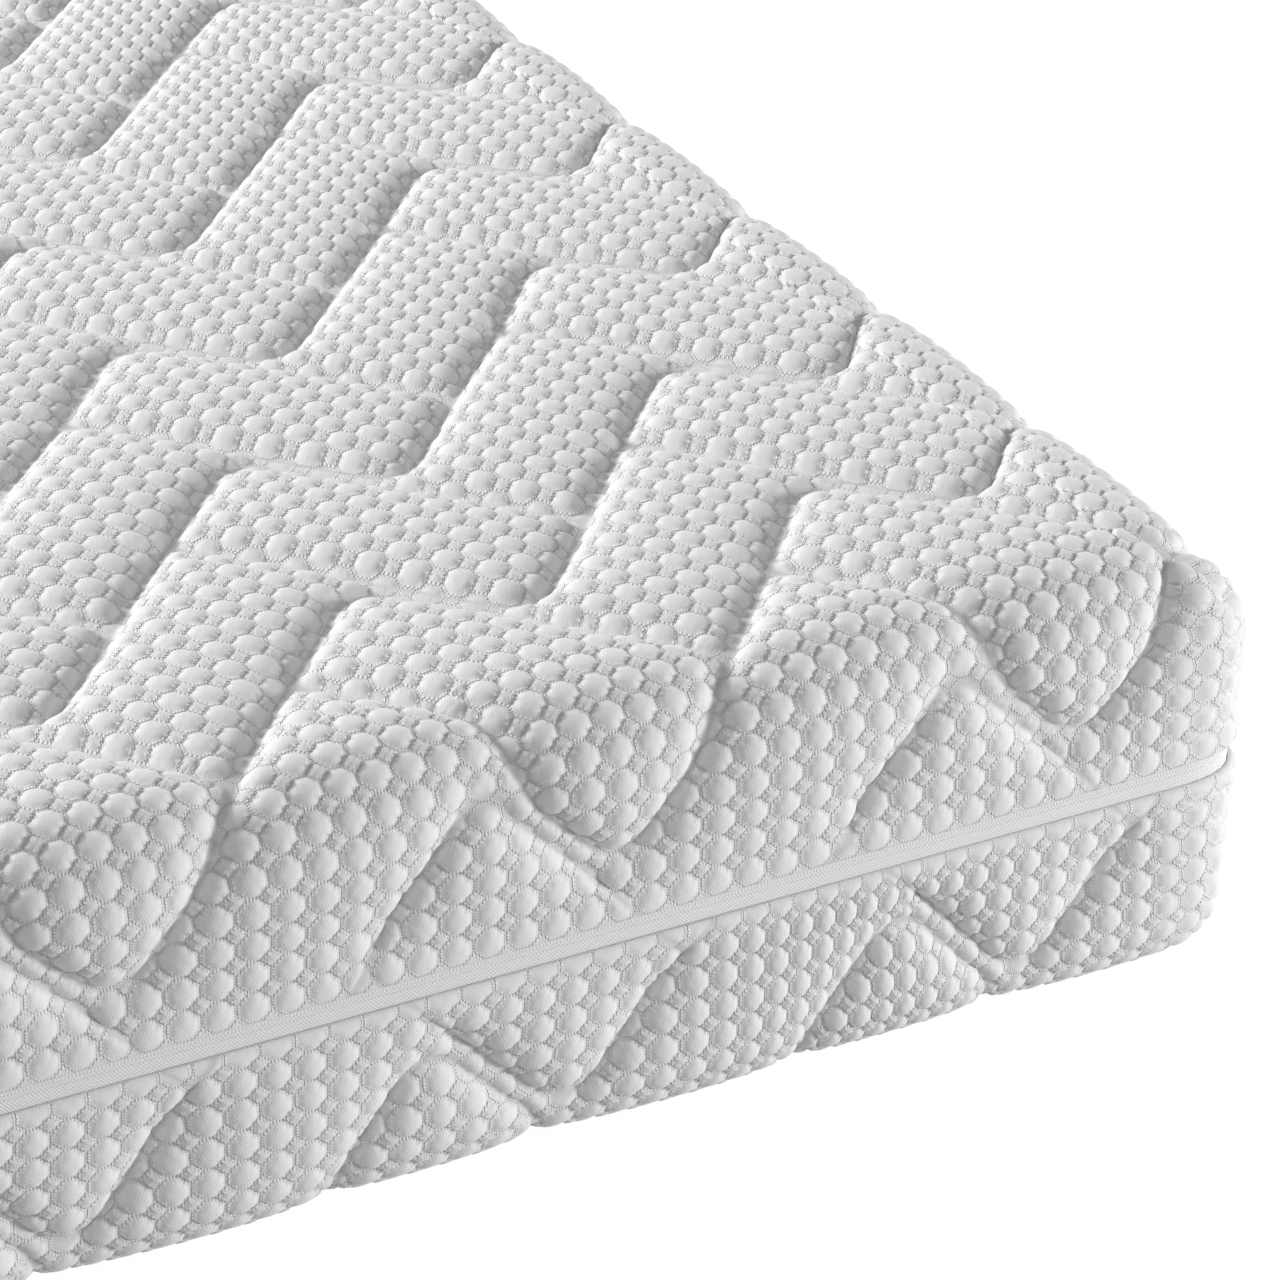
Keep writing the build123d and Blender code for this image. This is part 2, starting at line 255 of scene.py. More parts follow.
class Quilting:
    """How full the wadding is over one repeat of the zigzag, from 0 at the stitches to 1.

    The knit is held down along the stitches and the wadding lifts it as a stretched skin elsewhere.
    """

    STEP = 0.001
    STITCH = 0.0007
    ROUNDS = 1200
    REPEATS = range(-1, 4)

    def __init__(self, s):
        self.s = s
        self.count = (round(s.zigzag / self.STEP), round(s.row / self.STEP))
        u = np.arange(self.count[0]) * s.zigzag / self.count[0]
        v = np.arange(self.count[1]) * s.row / self.count[1]
        long_gap, short_gap = self.stitches(*np.meshgrid(u, v, indexing="ij"))
        held = np.where(long_gap < self.STITCH, 0.0, np.where(short_gap < self.STITCH, s.short_hold, -1.0))
        free = held < 0
        full = np.zeros(self.count)
        for reach, share in ((s.flank, 1 - s.crown_share), (s.crown, s.crown_share)):
            pull = (self.STEP / reach) ** 2
            skin = np.where(free, 1.0, held)
            for turn in range(self.ROUNDS):
                around = sum(np.roll(skin, side, axis) for side in (1, -1) for axis in (0, 1))
                skin = np.where(free, (around + pull) / (4 + pull), held)
            full += share * skin
        along_u = (np.roll(full, -1, 0) - np.roll(full, 1, 0)) / (2 * self.STEP)
        along_v = (np.roll(full, -1, 1) - np.roll(full, 1, 1)) / (2 * self.STEP)
        most = np.max(full * np.hypot(along_u, along_v))
        self.tables = [full, -s.gather / most * full * along_u, -s.gather / most * full * along_v]

    def stitches(self, u, v):
        """Distance to the long diagonals with their turns, and to the short ones."""
        s = self.s
        valley = -np.array(s.long_leg)
        fall = np.array([s.short_leg[0], -s.short_leg[1]])
        path = [valley - fall, valley, np.zeros(2), fall]
        ways = [(b - a) / math.hypot(*(b - a)) for a, b in zip(path, path[1:])]
        cuts = []
        for way_in, way_out, turn in zip(ways, ways[1:], path[1:]):
            half = math.acos(float(np.clip(-way_in @ way_out, -1, 1))) / 2
            reach = s.turn_radius / math.tan(half)
            middle = way_out - way_in
            middle = middle / math.hypot(*middle)
            cuts.append((turn, way_in, way_out, reach, turn + middle * s.turn_radius / math.sin(half)))
        straights = [
            (path[0], path[1] - ways[0] * cuts[0][3], False),
            (path[1] + ways[1] * cuts[0][3], path[2] - ways[1] * cuts[1][3], True),
            (path[2] + ways[2] * cuts[1][3], path[3], False),
        ]
        gaps = {True: np.full_like(u, 1.0), False: np.full_like(u, 1.0)}
        for k in self.REPEATS:
            for m in self.REPEATS:
                du, dv = u - k * s.zigzag, v - m * s.row
                for first, last, tight in straights:
                    run = last - first
                    share = np.clip(((du - first[0]) * run[0] + (dv - first[1]) * run[1]) / (run @ run), 0, 1)
                    off = np.hypot(du - first[0] - share * run[0], dv - first[1] - share * run[1])
                    gaps[tight] = np.minimum(gaps[tight], off)
                for turn, way_in, way_out, reach, centre in cuts:
                    off_u, off_v = du - centre[0], dv - centre[1]
                    ahead = (du - turn[0]) * way_in[0] + (dv - turn[1]) * way_in[1] >= -reach
                    behind = (du - turn[0]) * way_out[0] + (dv - turn[1]) * way_out[1] <= reach
                    near = np.hypot(du - turn[0], dv - turn[1]) <= reach * 1.01
                    off = np.abs(np.hypot(off_u, off_v) - s.turn_radius)
                    gaps[True] = np.where(ahead & behind & near, np.minimum(gaps[True], off), gaps[True])
        return gaps[True], gaps[False]

    def at(self, u, v, phase):
        """Fullness and the knit's slide towards the stitches at panel points."""
        s = self.s
        x = np.mod((u - phase[0]) / s.zigzag, 1) * self.count[0]
        y = np.mod((v - phase[1]) / s.row, 1) * self.count[1]
        i, j = np.floor(x).astype(int), np.floor(y).astype(int)
        x, y = x - i, y - j
        i, j = i % self.count[0], j % self.count[1]
        i1, j1 = (i + 1) % self.count[0], (j + 1) % self.count[1]
        return [
            (table[i, j] * (1 - y) + table[i, j1] * y) * (1 - x)
            + (table[i1, j] * (1 - y) + table[i1, j1] * y) * x
            for table in self.tables
        ]


def waver(u, v, seed):
    """Slow unevenness of hand-laid cloth, from -1 to 1."""
    random = np.random.default_rng(seed)
    total = np.zeros_like(u)
    waves, fewest, most = 6, 18, 60
    for wave in range(waves):
        angle = random.uniform(0, 2 * math.pi)
        number = random.uniform(fewest, most)
        total += np.sin(number * (u * math.cos(angle) + v * math.sin(angle)) + random.uniform(0, 6.28))
    return total / waves


def bubble_field(a, b, s):
    """Height of the knit's bubbles and diamonds over lattice points."""
    x = np.abs(a - np.round(a))
    y = np.abs(b - np.round(b))
    cut = (SEAM_CUT - x - y) / math.sqrt(2)
    sides = (x / 0.5, y / 0.5, (x + y) / SEAM_CUT, np.abs(x - y) / SEAM_CUT)
    from_middle = np.clip(sum(side**FOOT_POWER for side in sides), 0, 1) ** (1 / FOOT_POWER)
    bubble = s.bubble_height * (1 - from_middle ** BUBBLE_DOME[0]) ** BUBBLE_DOME[1]
    small = np.clip(-cut / ((1 - SEAM_CUT) / math.sqrt(2)), 0, 1)
    diamond = s.diamond_height * (1 - (1 - small) ** DIAMOND_DOME[0]) ** DIAMOND_DOME[1]
    return np.where(cut > 0, bubble, diamond)


class Outline:
    """Ring of points round the edge of a deck grid, with the way out at each."""

    def __init__(self, x_lines, y_lines, s, edge):
        self.edge = edge
        self.half_x = SIZE.x / 2 - edge
        self.half_y = SIZE.y / 2 - edge
        self.corner = s.corner_radius - edge
        nx, ny = len(x_lines), len(y_lines)
        self.grid_x, self.grid_y = np.meshgrid(x_lines, y_lines, indexing="ij")
        self.x, self.y = plan_corner(self.grid_x, self.grid_y, self.half_x, self.half_y, self.corner)
        self.index = np.arange(nx * ny).reshape(nx, ny)
        i = self.index
        self.ring = np.concatenate([i[:, 0], i[-1, 1:], i[-2::-1, -1], i[0, -2:0:-1]])
        self.count = len(self.ring)
        self.sides = [0, nx - 1, nx + ny - 2, 2 * nx + ny - 3, self.count]
        self.plan = np.stack([self.x.ravel()[self.ring], self.y.ravel()[self.ring]], -1)
        limit = np.array([self.half_x - self.corner, self.half_y - self.corner])
        out = self.plan - np.clip(self.plan, -limit, limit)
        angle = np.arctan2(out[:, 1], out[:, 0])
        self.out = squarer(angle)[:, None] * np.stack([np.cos(angle), np.sin(angle)], -1)

    def at(self, inset):
        """The ring moved out from the deck's edge to a depth inside the widest outline."""
        return self.plan + np.reshape(self.edge - inset, (-1, 1)) * self.out


class HalfCover:
    """One half of the cover, lying as the upper half, as arrays of points and triangles."""

    CORNER_STEPS = 14
    PATH_STEPS = 600
    MOST_ROWS = 14
    # Shares of the fold: where the rows' pitch starts to change, over how much, and where the walls' depth of
    # creases and the ends' full depth set in.
    PITCH_START, PITCH_REACH = 0.7, 0.5
    WALL_START, END_START = 0.3, 0.5
    # Height of the hem's rolled lip, and the grid's last lines over it.
    LIP = 0.003
    LIP_LINES = (0.0030, 0.0018, 0.0009, 0.0)
    # The grid's own lines keep this far from the deck's edge and from the hem.
    CLEAR_TOP, CLEAR_HEM = 0.0006, 0.0034
    # How far the stitches wander, and how uneven the wadding is.
    WANDER = 0.0022
    UNEVEN = 0.0010
    # Bubbles keep this share of their height in the creases, and have all of it from this fullness on.
    SUNK, SUNK_UNTIL = 0.35, 0.3
    # Above the hem: where the wadding starts, how far the knit is pressed flat, and the share that it keeps.
    WADDING_START, KNIT_FLAT, FLAT_SHARE = 0.005, 0.010, 0.12
    # Cloth left over the tape's pocket and the backing, and the height over which one gives way to the other.
    POCKET_CLOTH, BACKING_CLOTH = 0.0006, 0.001
    POCKET_EDGE = (0.001, 0.007)
    # Distances from a corner or an end over which the knit comes free and the wadding gets full.
    CORNER_HOLD, END_FADE = 0.03, 0.05
    # Sewn corner seams: half width, depth, and how much of the depth eases off from where to where.
    SEAM_WIDTH, SEAM_DEPTH, SEAM_EASE = 0.006, 0.85, 0.5
    SEAM_EASE_START, SEAM_EASE_REACH = 0.03, 0.05
    # Distances down from the deck's edge and up from the hem over which the knit may slide.
    EDGE_REACH, HEM_REACH = 0.02, 0.01
    # Rows keep straight this far from an end and lean in full after a further stretch.
    LEAN_START, LEAN_REACH = 0.1, 0.22

    def __init__(self, s, quilting, phase, shift, edge, deck_puff, deck_knit, seed):
        self.s = s
        self.deck_knit = deck_knit
        self.edge = edge
        self.deck_puff = deck_puff
        self.quilting = quilting
        self.phase = phase
        self.shift = shift
        self.seed = seed
        deck_x = SIZE.x / 2 - edge
        deck_y = SIZE.y / 2 - edge
        corner = s.corner_radius - edge
        self.columns = deck_x / s.bubble
        odd = self.columns % 1
        self.rows = round(deck_y / s.deck_row - odd) + odd
        self.pitch_y = deck_y / self.rows
        self.outline = Outline(
            both_ways(half_lines(deck_x, s.bubble, corner, self.CORNER_STEPS)),
            both_ways(half_lines(deck_y, self.pitch_y, corner, self.CORNER_STEPS)),
            s,
            edge,
        )
        self.fold = edge * QUARTER_TURN
        self.whole = self.fold + SIZE.z - edge - HEM_LOW
        self.fine = np.linspace(0, self.whole, self.PATH_STEPS)
        changed = smooth((self.fine / self.fold - self.PITCH_START) / self.PITCH_REACH)
        pitch = s.fold_row + (s.wall_row - s.fold_row) * changed
        self.passed = np.concatenate([[0], np.cumsum((self.fine[1] / pitch)[1:])])
        found = (np.arange(self.MOST_ROWS)[:, None] + line_phases()[None, :] - odd).ravel()
        found = np.interp(found, self.passed, self.fine, left=-1, right=9)
        found = np.sort(found[(found > self.CLEAR_TOP) & (found < self.whole - self.CLEAR_HEM)])
        lip = self.whole - np.array(self.LIP_LINES)
        self.t = np.concatenate([[0.0], found, lip])

    def base(self, t):
        """Inset, height and outward normal at a distance down the fold and the wall."""
        s = self.s
        turn = np.clip(t / self.edge, 0, QUARTER_TURN)
        height = SIZE.z - self.edge + self.edge * np.cos(turn) - np.maximum(t - self.fold, 0)
        inset = self.edge * (1 - np.sin(turn)) - np.minimum(t, 0)
        top = ZIP_HEIGHT + s.widest
        inset = inset + s.draw_in * smooth((top - height) / (top - HEM_LOW))
        lip = np.clip((t - self.whole + self.LIP) / self.LIP, 0, 1)
        inset = inset + s.hem_roll * lip * lip
        return inset, height, np.sin(turn), np.cos(turn)

    def skewed(self, x, b):
        """Shift of the knit along the mattress where its rows lean."""
        free = smooth((SIZE.x / 2 - self.LEAN_START - np.abs(x)) / self.LEAN_REACH)
        return self.s.skew * self.s.bubble * (b + self.rows) * free

    def relief(self, u, v, a, b, t, free, seam, depth):
        """Height over the plain form, the knit's slide and the fullness, at pattern points and lattice points."""
        s = self.s
        u = u + self.WANDER * waver(u, v, self.seed)
        v = v + self.WANDER * waver(u, v, self.seed + 1)
        full, slide_u, slide_v = self.quilting.at(u, v, self.phase)
        for turn in range(2):
            full, slide_u, slide_v = self.quilting.at(u + free * slide_u, v + free * slide_v, self.phase)
        full = full * seam
        on_wall = smooth(t / self.fold - self.WALL_START)
        puff = depth * (self.deck_puff + (s.wall_puff - self.deck_puff) * on_wall)
        up = self.whole - t
        left = smooth((up - self.WADDING_START) / s.hem_fade)
        uneven = self.UNEVEN * waver(u, v, self.seed + 2) - self.UNEVEN
        knit = bubble_field(a, b, s) * (self.SUNK + (1 - self.SUNK) * smooth(full / self.SUNK_UNTIL))
        proud = self.FLAT_SHARE + (1 - self.FLAT_SHARE) * smooth(up / self.KNIT_FLAT)
        proud = proud * (self.deck_knit + (1 - self.deck_knit) * smooth(t / self.fold))
        level = left * (uneven - puff * (1 - full)) + proud * (knit - s.bubble_height)
        pocket = [s.pocket + height for height in self.POCKET_EDGE]
        depths = (s.hem - self.POCKET_CLOTH, s.thickness - s.draw_in - self.BACKING_CLOTH)
        deepest = np.interp(up, pocket, depths)
        return np.maximum(level, -deepest), free * slide_u, free * slide_v, full

    def build(self):
        """Points, triangles, lattice coordinates and fullness of the half."""
        s, o = self.s, self.outline
        a, b = o.grid_x / s.bubble, o.grid_y / self.pitch_y
        u = o.x + self.skewed(o.grid_x, b)
        to_corner = np.hypot(o.half_x - np.abs(o.grid_x), o.half_y - np.abs(o.grid_y))
        at_corner = smooth(to_corner / self.CORNER_HOLD)
        to_end = smooth((np.abs(o.grid_x) - o.half_x + self.END_FADE) / self.END_FADE)
        near_end = 1 - (1 - s.end_puff) * to_end
        level, slide_u, slide_v, full = self.relief(
            u, o.y, a, b, np.zeros_like(u), at_corner, np.ones_like(u), near_end
        )
        deck = np.stack([u + slide_u, o.y + slide_v, SIZE.z + level], -1)
        points = [deck.reshape(-1, 3)]
        fullness = [full.ravel()]
        faces, knit = [], []
        add_quads(o.index, a, b, level, faces, knit)
        t = self.t
        m, count = o.count, len(t)
        below = o.index.size + np.arange((count - 1) * m).reshape(count - 1, m)
        table = np.concatenate([o.ring[None], below])
        strip = np.zeros((count, m, 3))
        strip_full = np.ones((count, m))
        passed = np.interp(t, self.fine, self.passed)
        slip = t - s.fold_slip * smooth(t / self.fold)
        spread = self.edge - self.base(t)[0]
        shift = self.shift * smooth(t / self.fold)
        for side in range(4):
            columns = np.arange(o.sides[side], o.sides[side + 1] + 1) % m
            plan, out = o.plan[columns], o.out[columns]
            axis = side % 2
            sign = (-1, 1, 1, -1)[side]
            angle = np.arctan2(out[:, axis], np.abs(out[:, 1 - axis]))
            arc = spread[:, None] * angle[None]
            along = plan[None, :, axis] + arc
            down = np.broadcast_to((sign * ((o.half_y, o.half_x)[axis] + slip))[:, None], along.shape)
            if axis == 0:
                b = np.broadcast_to((sign * (self.rows + passed))[:, None], along.shape)
                a = plan[None, :, 0] / s.bubble + arc / s.bubble
                lean = self.skewed(plan[None, :, 0], b)
                u, v = along + lean + shift[:, None], down
            else:
                a = np.broadcast_to((sign * (self.columns + passed))[:, None], along.shape)
                b = plan[None, :, 1] / self.pitch_y + arc / s.bubble
                lean = np.zeros_like(along)
                u, v = down, along
            free = np.broadcast_to(1 - smooth(np.abs(angle) / (math.pi / 4))[None], along.shape)
            from_seam = (math.pi / 4 - np.abs(angle)) * s.corner_radius
            started = smooth(t / self.EDGE_REACH)[:, None]
            sewn = np.exp(-(from_seam / self.SEAM_WIDTH) ** 2)[None] * started
            eased = smooth((t - self.SEAM_EASE_START) / self.SEAM_EASE_REACH)
            seam = 1 - sewn * (self.SEAM_DEPTH - self.SEAM_EASE * eased)[:, None]
            depth = np.broadcast_to(t[:, None], along.shape)
            at_end = np.abs(np.sin(np.clip(angle, -math.pi / 4, math.pi / 4)))
            share = (at_end if axis == 0 else 1 - at_end)[None] ** 2 * (1 - s.end_puff)
            gentle = 1 - share * (1 - smooth(t / self.fold - self.END_START))[:, None]
            level, slide_u, slide_v, full = self.relief(u, v, a, b, depth, free, seam, gentle)
            strip_full[:, columns] = full
            slide, dip = (slide_u, sign * slide_v) if axis == 0 else (slide_v, sign * slide_u)
            ease = started * smooth((self.whole - t) / self.HEM_REACH)[:, None]
            inset, height, side_out, side_up = self.base(depth + dip * ease)
            reach = (self.edge - inset + level * side_out)[..., None] * out[None]
            tangent = np.zeros(2)
            tangent[axis] = 1
            spot = plan[None] + reach + (lean + slide)[..., None] * tangent
            strip[:, columns] = np.concatenate([spot, (height + level * side_up)[..., None]], -1)
            add_quads(table[:, columns].T, a.T, b.T, level.T, faces, knit, flip=True)
        points.append(strip[1:].reshape(-1, 3))
        fullness.append(strip_full[1:].ravel())
        self.close(points, faces, knit, table[-1])
        points = np.concatenate(points)
        fullness = np.concatenate(fullness)
        fullness = np.append(fullness, np.ones(len(points) - len(fullness)))
        return points, np.concatenate(faces), np.concatenate(knit), fullness

    def close(self, points, faces, knit, last):
        """Adds the hem's inner side, the pocket for the tape and the backing behind the wadding."""
        s, o = self.s, self.outline
        inner = self.edge - s.thickness
        turns = np.linspace(0, QUARTER_TURN, 6)
        hem_in = s.draw_in + s.hem
        path = [(hem_in, HEM_LOW), (hem_in, HEM_LOW + s.pocket), (s.thickness, HEM_LOW + s.pocket)]
        centre = SIZE.z - self.edge
        path += [(self.edge - inner * math.cos(x), centre + inner * math.sin(x)) for x in turns]
        first = sum(len(p) for p in points)
        for inset, height in path:
            ring = first + np.arange(o.count)
            points.append(np.column_stack([o.at(inset), np.full(o.count, height)]))
            add_ring(last, ring, faces)
            last = ring
            first += o.count
        front = last[: o.sides[1] + 1]
        rear = last[o.sides[2] : o.sides[3] + 1][::-1]
        faces.append(np.stack([front[:-1], rear[:-1], rear[1:]], -1))
        faces.append(np.stack([front[:-1], rear[1:], front[1:]], -1))
        for ends in (last[o.sides[1] : o.sides[2] + 1], np.append(last[o.sides[3] :], last[0])):
            faces.append(np.stack([np.full(len(ends) - 2, ends[0]), ends[2:], ends[1:-1]], -1))
        plain = sum(len(f) for f in faces) - sum(len(k) for k in knit)
        knit.append(np.full((plain, 3, 2), 0.1))


def add_ring(upper, lower, faces):
    """Triangles between two rings of as many points, facing out where the second lies below the first."""
    after_upper, after_lower = np.roll(upper, -1), np.roll(lower, -1)
    faces.append(np.stack([upper, lower, after_lower], -1))
    faces.append(np.stack([upper, after_lower, after_upper], -1))


def add_quads(index, a, b, level, faces, knit, flip=False):
    """Two triangles to each square of a grid, cut along the lower diagonal so that seams stay sharp."""
    corners = [index[:-1, :-1], index[1:, :-1], index[1:, 1:], index[:-1, 1:]]
    uv = np.stack([a, b], -1)
    uvs = [uv[:-1, :-1], uv[1:, :-1], uv[1:, 1:], uv[:-1, 1:]]
    h = [level[:-1, :-1], level[1:, :-1], level[1:, 1:], level[:-1, 1:]]
    rising = h[0] + h[2] < h[1] + h[3]
    for choice, order in ((rising, ((0, 1, 2), (0, 2, 3))), (~rising, ((1, 2, 3), (1, 3, 0)))):
        for tri in order:
            if flip:
                tri = tri[::-1]
            faces.append(np.stack([corners[c][choice] for c in tri], -1))
            knit.append(np.stack([uvs[c][choice] for c in tri], 1))


def mesh_object(name, points, triangles, uv=None, layer_name="knit"):
    """A smooth mesh object from arrays."""
    mesh = bpy.data.meshes.new(name)
    mesh.vertices.add(len(points))
    mesh.vertices.foreach_set("co", points.astype(np.float32).ravel())
    mesh.loops.add(len(triangles) * 3)
    mesh.loops.foreach_set("vertex_index", triangles.astype(np.int32).ravel())
    mesh.polygons.add(len(triangles))
    mesh.polygons.foreach_set("loop_start", np.arange(0, len(triangles) * 3, 3, dtype=np.int32))
    mesh.update(calc_edges=True)
    mesh.polygons.foreach_set("use_smooth", np.ones(len(triangles), bool))
    if uv is not None:
        layer = mesh.uv_layers.new(name=layer_name)
        layer.data.foreach_set("uv", uv.astype(np.float32).ravel())
    mesh.validate()
    piece = bpy.data.objects.new(name, mesh)
    bpy.context.scene.collection.objects.link(piece)
    return piece


def place(piece, material, body, slot, *nodes):
    """Gives a piece its material and its body, and hides the solids that it stands for."""
    piece.data.materials.append(material)
    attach(piece, body)
    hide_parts(*nodes)


def turned_over(points):
    """The same points on the underside, turned half round about the long axis of the waist."""
    return points * (1, -1, -1) + (0, 0, SIZE.z)


class MATTRESS_OT_covers(bpy.types.Operator):
    """Models the two quilted halves of the cover"""

    bl_idname = "mattress.covers"
    bl_label = "Quilted covers"

    UPPER_SEED, LOWER_SEED = 11, 23

    def execute(self, context):
        s = context.scene.mattress_cover
        material = bubble_knit(s)
        quilting = Quilting(s)
        upper = (s.upper_phase, s.wall_shift[0], s.edge_radius, s.deck_puff, s.laid, self.UPPER_SEED)
        lower = (s.lower_phase, s.wall_shift[1], s.lower_edge, s.lower_puff, s.pressed, self.LOWER_SEED)
        halves = (("upper_cover", "cover_top", upper), ("lower_cover", "mattress", lower))
        for node, body, values in halves:
            half = HalfCover(s, quilting, *values)
            points, triangles, uv, fullness = half.build()
            if node == "lower_cover":
                points = turned_over(points)
            piece = mesh_object(node + "_knit", points, triangles, uv)
            # The fullness also sets the knit's painted shade in the creases by the stitches.
            piece.data.attributes.new("full", "FLOAT", "POINT").data.foreach_set("value", fullness)
            place(piece, material, body, "quilted_knit", node)
        return {"FINISHED"}


def coarse_outline(context, extra=()):
    """Ring and grid for the pieces that need no knit, with extra lines across the mattress."""
    step, apart, corner_steps = 0.03, 0.004, 7
    s = context.scene.mattress_cover
    half_x = SIZE.x / 2 - s.edge_radius
    half_y = SIZE.y / 2 - s.edge_radius
    corner = s.corner_radius - s.edge_radius
    lines = []
    for half, added in ((half_x, extra), (half_y, ())):
        even = np.linspace(0, half - corner, math.ceil(half / step))
        kept = [x for x in even if all(abs(x - abs(e)) > apart for e in added)]
        straight = np.array(sorted(kept + [abs(e) for e in added]))
        turn = half - corner + corner * np.arange(1, corner_steps + 1) / corner_steps
        lines.append(both_ways(np.concatenate([straight, turn])))
    return Outline(*lines, s, s.edge_radius)


def closed_form(name, o, path, uneven=0.0, seed=0):
    """Closed piece whose side follows a path of insets and heights between two flat decks."""
    points, faces = [], []
    wave = uneven * waver(o.x, o.y, seed)
    points.append(np.stack([o.x, o.y, path[0][1] + wave], -1).reshape(-1, 3))
    index = o.index
    faces.append(np.stack([index[:-1, :-1], index[1:, :-1], index[1:, 1:]], -1).reshape(-1, 3))
    faces.append(np.stack([index[:-1, :-1], index[1:, 1:], index[:-1, 1:]], -1).reshape(-1, 3))
    last, first = o.ring, index.size
    around = wave.ravel()[o.ring]
    for inset, height in path[1:-1]:
        ring = first + np.arange(o.count)
        points.append(np.column_stack([o.at(inset + around), np.full(o.count, height)]))
        add_ring(last, ring, faces)
        last, first = ring, first + o.count
    points.append(np.stack([o.x, o.y, path[-1][1] + wave], -1).reshape(-1, 3))
    index = index + first
    faces.append(np.stack([index[:-1, :-1], index[1:, 1:], index[1:, :-1]], -1).reshape(-1, 3))
    faces.append(np.stack([index[:-1, :-1], index[:-1, 1:], index[1:, 1:]], -1).reshape(-1, 3))
    add_ring(last, first + o.ring, faces)
    return mesh_object(name, np.concatenate(points), np.concatenate(faces))


def band(name, o, loop, close, turn_over=False, gap=None):
    """Band round the mattress with a closed section of insets and heights, left open over a gap at the rear.

    Away from the rear, where no slider runs, its edge comes nearer to the other half of the zip. A band that is
    turned over has its rear at the front until then.
    """
    start, reach, tiny = 0.04, 0.03, 1e-5
    columns = np.arange(o.count)
    to_rear = -o.plan[:, 1] if turn_over else o.plan[:, 1]
    nearer = close[0] * (1 - smooth((to_rear - o.half_y + o.corner + start) / reach))
    if gap:
        rear = (o.plan[:, 1] > 0) & (o.plan[:, 0] > gap[0] + tiny) & (o.plan[:, 0] < gap[1] - tiny)
        after = np.flatnonzero(rear)[-1] + 1
        columns = (after + np.arange(o.count - rear.sum())) % o.count
    size = len(loop)
    rings = []
    for inset, z in loop:
        down = np.clip((close[1] - z) / (close[1] - close[2]), 0, 1)
        rings.append(np.column_stack([o.at(inset), z - down * nearer])[columns])
    rings = np.stack(rings, 1)
    points = rings.reshape(-1, 3)
    run = np.concatenate([[0], np.cumsum(np.linalg.norm(np.diff(rings[:, 0], axis=0), axis=1))])
    closed = np.array(list(loop) + [loop[0]])
    across = np.concatenate([[0], np.cumsum(np.hypot(*np.diff(closed, axis=0).T))])
    index = np.arange(len(points)).reshape(len(columns), size)
    if not gap:
        index = np.concatenate([index, index[:1]])
        run = np.append(run, run[-1] + np.linalg.norm(rings[0, 0] - rings[-1, 0]))
    index = np.concatenate([index, index[:, :1]], 1)
    uv = np.stack(np.meshgrid(run, across, indexing="ij"), -1)
    faces, uvs = [], []
    for order in (((0, 0), (1, 0), (1, 1)), ((0, 0), (1, 1), (0, 1))):
        grids = [index[i : i + len(index) - 1, j : j + size] for i, j in order]
        marks = [uv[i : i + len(index) - 1, j : j + size] for i, j in order]
        faces.append(np.stack(grids, -1).reshape(-1, 3))
        uvs.append(np.stack(marks, 2).reshape(-1, 3, 2))
    if gap:
        for cap, step in ((index[0, :size], 1), (index[-1, :size], -1)):
            fan = [(cap[0], cap[i], cap[i + 1])[::step] for i in range(1, size - 1)]
            faces.append(np.array(fan))
            uvs.append(np.zeros((len(fan), 3, 2)))
    if turn_over:
        points = turned_over(points)
    piece = mesh_object(name, points, np.concatenate(faces), np.concatenate(uvs), "tape")
    piece.data.set_sharp_from_angle(angle=SHARP_ANGLE)
    return piece


